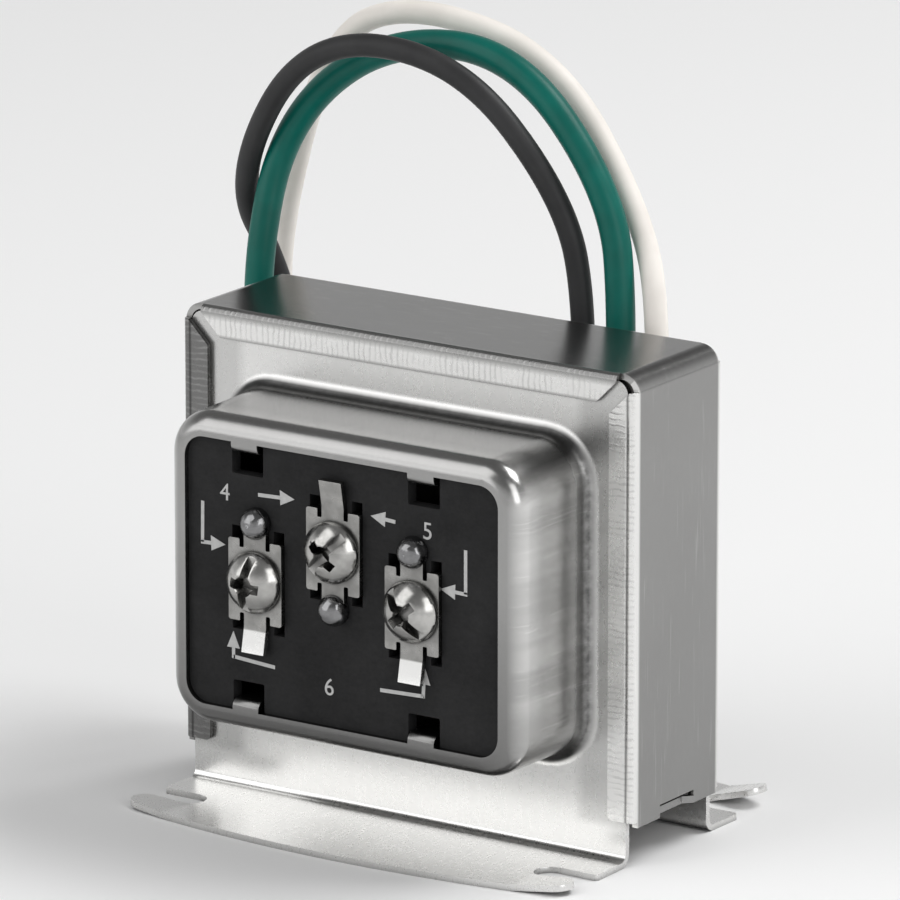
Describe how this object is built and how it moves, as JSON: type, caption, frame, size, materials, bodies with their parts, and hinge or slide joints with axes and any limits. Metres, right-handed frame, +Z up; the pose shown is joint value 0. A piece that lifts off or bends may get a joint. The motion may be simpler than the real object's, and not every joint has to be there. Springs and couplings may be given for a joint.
{
  "type": "doorbell transformer",
  "caption": "Small open-frame doorbell transformer: a plated steel band, two drawn covers with slotted feet, a black board with screw terminals in front and insulated leads behind.",
  "frame": {"origin": "centre of the standing outline, on the plane under the feet", "axes": "+X along the width, +Y from the terminal side to the lead side, +Z up"},
  "size_m": [0.0703, 0.0488, 0.0847],
  "materials": {
    "zinc_sheet": "bright zinc plating",
    "board": "matt, printed marks",
    "terminal": "satin nickel plating",
    "screw": "bright nickel plating",
    "solder": "bright, set drops",
    "winding_wire": "enamelled copper",
    "core": "oiled laminations",
    "bobbin": "moulded",
    "wrap": "polyester tape",
    "splice": "sleeving",
    "bushing": "moulded nylon",
    "lead_black": "insulation",
    "lead_green": "insulation",
    "lead_white": "insulation",
    "copper": "bare strands",
    "lug": "stamped",
    "rivet": "plain"
  },
  "bodies": {
    "root": {"outer_band": "zinc_sheet", "front_cover": "zinc_sheet", "rear_cover": "zinc_sheet", "terminal_board": "board", "terminal_left": "terminal", "terminal_centre": "terminal", "terminal_right": "terminal", "terminal_screws": "screw", "solder_joints": "solder", "tap_left": "winding_wire", "tap_centre": "winding_wire", "tap_right": "winding_wire", "core_e_stack": "core", "core_i_stack": "core", "bobbin": "bobbin", "primary_winding": "winding_wire", "secondary_winding": "winding_wire", "primary_wrap": "wrap", "secondary_wrap": "wrap", "primary_start_wire": "winding_wire", "primary_finish_wire": "winding_wire", "primary_start_splice": "splice", "primary_finish_splice": "splice", "lead_bushing": "bushing", "lead_black": "lead_black", "lead_green": "lead_green", "lead_white": "lead_white", "lead_black_end": "copper", "lead_green_end": "copper", "lead_white_end": "copper", "ground_lug": "lug", "ground_rivet": "rivet"}
  },
  "joints": []
}
